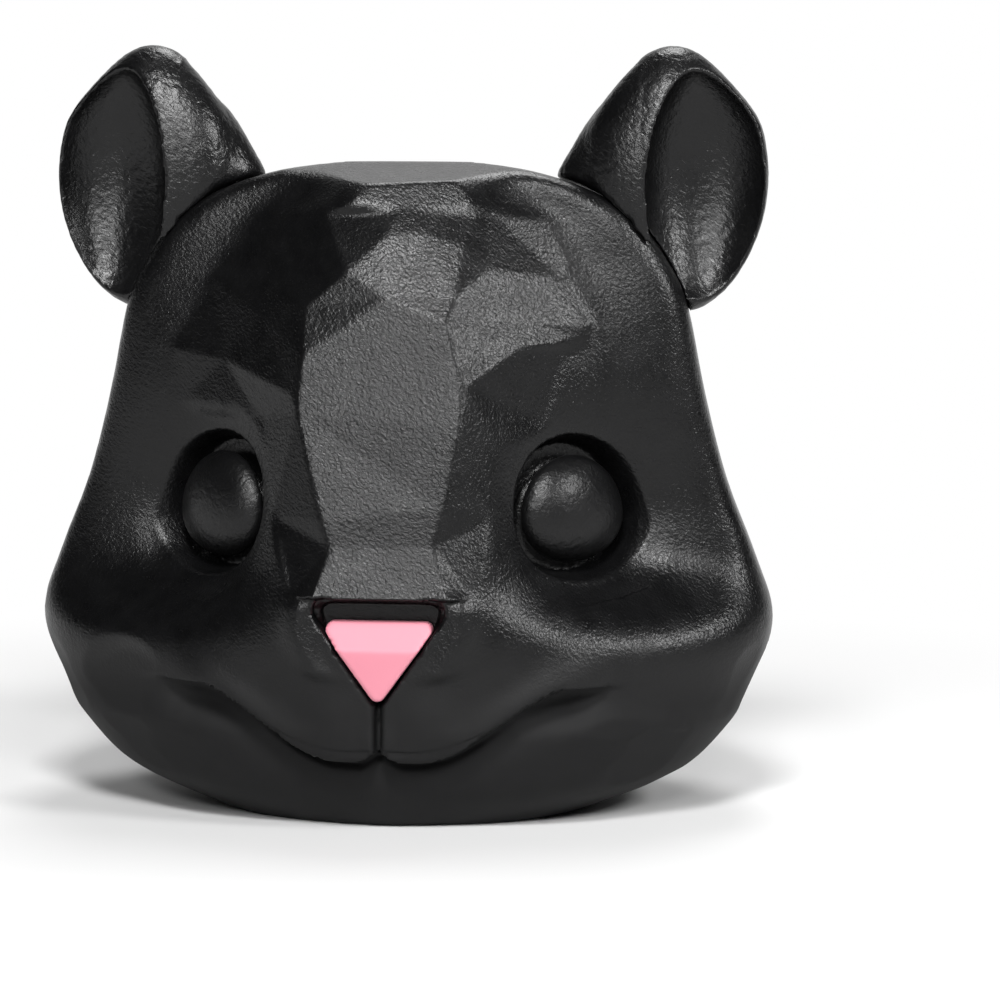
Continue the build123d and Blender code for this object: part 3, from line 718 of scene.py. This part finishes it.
def grainyMaterial(name, look):
    material, tree, bsdf = newMaterial(name)
    place = tree.nodes.new("ShaderNodeTexCoord")
    beaten = tree.nodes.new("ShaderNodeGroup")
    beaten.node_tree = hammered
    beaten.inputs["Per Metre"].default_value = look["perMetre"]
    beaten.inputs["Streak"].default_value = look["streak"]
    tree.links.new(place.outputs["Object"], beaten.inputs["Vector"])
    tint = tree.nodes.new("ShaderNodeMix")
    tint.data_type = "RGBA"
    tint.inputs["A"].default_value = (*look["dark"], 1)
    tint.inputs["B"].default_value = (*look["light"], 1)
    tree.links.new(beaten.outputs["Patch"], tint.inputs["Factor"])
    tree.links.new(tint.outputs["Result"], bsdf.inputs["Base Color"])
    rough = rangeNode(tree, beaten.outputs["Patch"], noiseRange, look["roughness"])
    bump = tree.nodes.new("ShaderNodeBump")
    bump.inputs["Strength"].default_value = look["strength"]
    bump.inputs["Distance"].default_value = look["depth"]
    height = beaten.outputs["Height"]
    if "grainFrom" in look:  # smooth below this height
        split = tree.nodes.new("ShaderNodeSeparateXYZ")
        tree.links.new(place.outputs["Object"], split.inputs["Vector"])
        fade = rangeNode(tree, split.outputs["Z"], look["grainFrom"])
        height = mathNode(tree, "MULTIPLY", height, fade)
        extra = mathNode(tree, "SUBTRACT", rough, look["smoothRoughness"])
        rough = mathNode(tree, "ADD", mathNode(tree, "MULTIPLY", extra, fade), look["smoothRoughness"])
    tree.links.new(height, bump.inputs["Height"])
    tree.links.new(rough, bsdf.inputs["Roughness"])
    tree.links.new(bump.outputs["Normal"], bsdf.inputs["Normal"])
    bsdf.inputs["Specular IOR Level"].default_value = look["specular"]
    return material


looks = {
    "shellBlack": dict(perMetre=2300, streak=0.7, dark=(0.002, 0.002, 0.0022), light=(0.005, 0.005, 0.0053),
                       roughness=(0.27, 0.33), strength=1.0, depth=0.15 * mm, specular=0.3,
                       grainFrom=(24 * mm, 38 * mm), smoothRoughness=0.72),
    "earBlack": dict(perMetre=1700, streak=0.6, dark=(0.002, 0.002, 0.0022), light=(0.005, 0.005, 0.0053),
                     roughness=(0.28, 0.34), strength=1.0, depth=0.16 * mm, specular=0.34),
    "eyeBlack": dict(perMetre=1000, streak=1.0, dark=(0.002, 0.002, 0.0022), light=(0.005, 0.005, 0.0053),
                     roughness=(0.34, 0.4), strength=1.0, depth=0.17 * mm, specular=0.32),
    "nosePink": dict(perMetre=500, streak=1.0, dark=(0.66, 0.225, 0.29), light=(0.70, 0.262, 0.327),
                     roughness=(0.42, 0.5), strength=0.15, depth=0.08 * mm, specular=0.4),
    "cupBlack": dict(perMetre=700, streak=1.0, dark=(0.020, 0.020, 0.021), light=(0.034, 0.034, 0.035),
                     roughness=(0.45, 0.55), strength=0.2, depth=0.08 * mm, specular=0.5),
    "bushRubber": dict(perMetre=1200, streak=1.0, dark=(0.012, 0.012, 0.012), light=(0.02, 0.02, 0.02),
                       roughness=(0.6, 0.7), strength=0.2, depth=0.05 * mm, specular=0.4),
    "cordBraid": dict(perMetre=2200, streak=0.35, dark=(0.010, 0.010, 0.011), light=(0.03, 0.03, 0.032),
                      roughness=(0.6, 0.75), strength=0.9, depth=0.15 * mm, specular=0.3),
}
finishes = {name: grainyMaterial(name, look) for name, look in looks.items()}


steel = {"colour": (0.55, 0.55, 0.56, 1), "perMetre": 1500, "detail": 2, "roughness": (0.28, 0.42)}


def makeSteel(s):
    material, tree, bsdf = newMaterial("pressedSteel")
    place = tree.nodes.new("ShaderNodeTexCoord")
    brushed = tree.nodes.new("ShaderNodeTexNoise")
    brushed.inputs["Scale"].default_value = s["perMetre"]
    brushed.inputs["Detail"].default_value = s["detail"]
    tree.links.new(place.outputs["Object"], brushed.inputs["Vector"])
    rough = rangeNode(tree, brushed.outputs["Fac"], noiseRange, s["roughness"])
    tree.links.new(rough, bsdf.inputs["Roughness"])
    bsdf.inputs["Base Color"].default_value = s["colour"]
    bsdf.inputs["Metallic"].default_value = 1.0
    return material


finishes["pressedSteel"] = makeSteel(steel)


def dress(obj, material):
    obj.data.materials.clear()
    obj.data.materials.append(finishes[material])


dress(headPiece, "shellBlack")
dress(cordPiece, "cordBraid")
dress(nosePiece, "nosePink")
for piece in earPieces:
    dress(piece, "earBlack")
for piece in eyePieces:
    dress(piece, "eyeBlack")
slotFinish = {
    "shell": "shellBlack", "cup": "cupBlack", "bush": "bushRubber", "steel": "pressedSteel",
    "cord": "cordBraid",
}
for sub in frame["record"]["subparts"]:
    node = frame["nodes"][sub["node"]]
    if not node.hide_render:
        for index in range(len(node.material_slots)):
            node.material_slots[index].material = finishes[slotFinish[sub["material_slot"]]]
print("finishes made")


# floor and light
studio = {
    "floorSize": 4.0,
    "floorShade": 0.68,
    "floorRoughness": 0.9,
    "floorSpecular": 0.1,
    "fade": (0.12, 0.28),  # the floor runs into plain white between these distances
    "back": (0.5, 0.9),  # where the white backdrop starts, as the Y of a direction
    "ring": (0.03, 0.15),  # the white all round ends between these heights of a direction
    "front": 0.02,
}
lamps = {  # turn, rise, distance, size, watts
    "topSoftbox": (4, 49, 1.0, 0.22, 8.0),
    "sideSoftbox": (65, 32, 1.0, 0.22, 5.2),
    "frontSoftbox": (-11, 26, 1.0, 0.2, 2.4),
    "cheekSoftbox": (18, 31, 1.0, 0.2, 2.4),
    "backSoftbox": (176, 62, 1.0, 0.4, 5.5),
}


def seenOrMirrored(tree):  # 1 for what the camera, gloss and glass see
    path = tree.nodes.new("ShaderNodeLightPath")
    seen = mathNode(tree, "MAXIMUM", path.outputs["Is Camera Ray"], path.outputs["Is Glossy Ray"])
    return mathNode(tree, "MAXIMUM", seen, path.outputs["Is Transmission Ray"])


def makeFloor(c):
    bm = bmesh.new()
    bmesh.ops.create_grid(bm, x_segments=2, y_segments=2, size=c["floorSize"])
    mesh = bpy.data.meshes.new("paleFloor")
    bm.to_mesh(mesh)
    bm.free()
    obj = bpy.data.objects.new("paleFloor", mesh)
    scene.collection.objects.link(obj)
    material, tree, bsdf = newMaterial("paleFloor")
    bsdf.inputs["Base Color"].default_value = (c["floorShade"],) * 3 + (1,)
    bsdf.inputs["Roughness"].default_value = c["floorRoughness"]
    bsdf.inputs["Specular IOR Level"].default_value = c["floorSpecular"]
    place = tree.nodes.new("ShaderNodeTexCoord")
    away = tree.nodes.new("ShaderNodeVectorMath")
    away.operation = "LENGTH"
    tree.links.new(place.outputs["Object"], away.inputs[0])
    glow = tree.nodes.new("ShaderNodeEmission")
    tree.links.new(seenOrMirrored(tree), glow.inputs["Strength"])
    mix = tree.nodes.new("ShaderNodeMixShader")
    fade = rangeNode(tree, away.outputs["Value"], c["fade"], kind="SMOOTHSTEP")
    tree.links.new(fade, mix.inputs["Fac"])
    tree.links.new(bsdf.outputs["BSDF"], mix.inputs[1])
    tree.links.new(glow.outputs["Emission"], mix.inputs[2])
    below = tree.nodes.new("ShaderNodeMixShader")  # clear when it is seen from below
    tree.links.new(tree.nodes.new("ShaderNodeNewGeometry").outputs["Backfacing"], below.inputs["Fac"])
    tree.links.new(mix.outputs["Shader"], below.inputs[1])
    tree.links.new(tree.nodes.new("ShaderNodeBsdfTransparent").outputs["BSDF"], below.inputs[2])
    tree.links.new(below.outputs["Shader"], tree.nodes["Material Output"].inputs["Surface"])
    mesh.materials.append(material)


def makeWorld(c):
    world = bpy.data.worlds.new("studio")
    scene.world = world
    world.use_nodes = True
    tree = world.node_tree
    sky = tree.nodes["Background"]
    place = tree.nodes.new("ShaderNodeTexCoord")
    split = tree.nodes.new("ShaderNodeSeparateXYZ")
    tree.links.new(place.outputs["Generated"], split.inputs["Vector"])
    behind = rangeNode(tree, split.outputs["Y"], c["back"], (c["front"], 1.0), "SMOOTHSTEP")
    ring = rangeNode(tree, split.outputs["Z"], c["ring"], (1.0, 0.0), "SMOOTHSTEP")
    path = tree.nodes.new("ShaderNodeLightPath")
    around = mathNode(tree, "MULTIPLY", ring, seenOrMirrored(tree))
    around = mathNode(tree, "MAXIMUM", around, path.outputs["Is Camera Ray"])
    strength = mathNode(tree, "MAXIMUM", behind, around)
    tree.links.new(strength, sky.inputs["Strength"])
    sky.inputs["Color"].default_value = (1, 1, 1, 1)


def makeLamp(name, turn, rise, distance, size, watts):
    data = bpy.data.lights.new(name, "AREA")
    data.size = size
    data.energy = watts
    obj = bpy.data.objects.new(name, data)
    scene.collection.objects.link(obj)
    away = facingVector(turn, rise)
    obj.location = Vector(camera["target"]) + away * distance
    obj.rotation_euler = away.to_track_quat("Z", "Y").to_euler()


makeFloor(studio)
makeWorld(studio)
for name, values in lamps.items():
    makeLamp(name, *values)
scene.view_settings.view_transform = "Standard"
print("floor and light set")

bpy.context.view_layer.update()
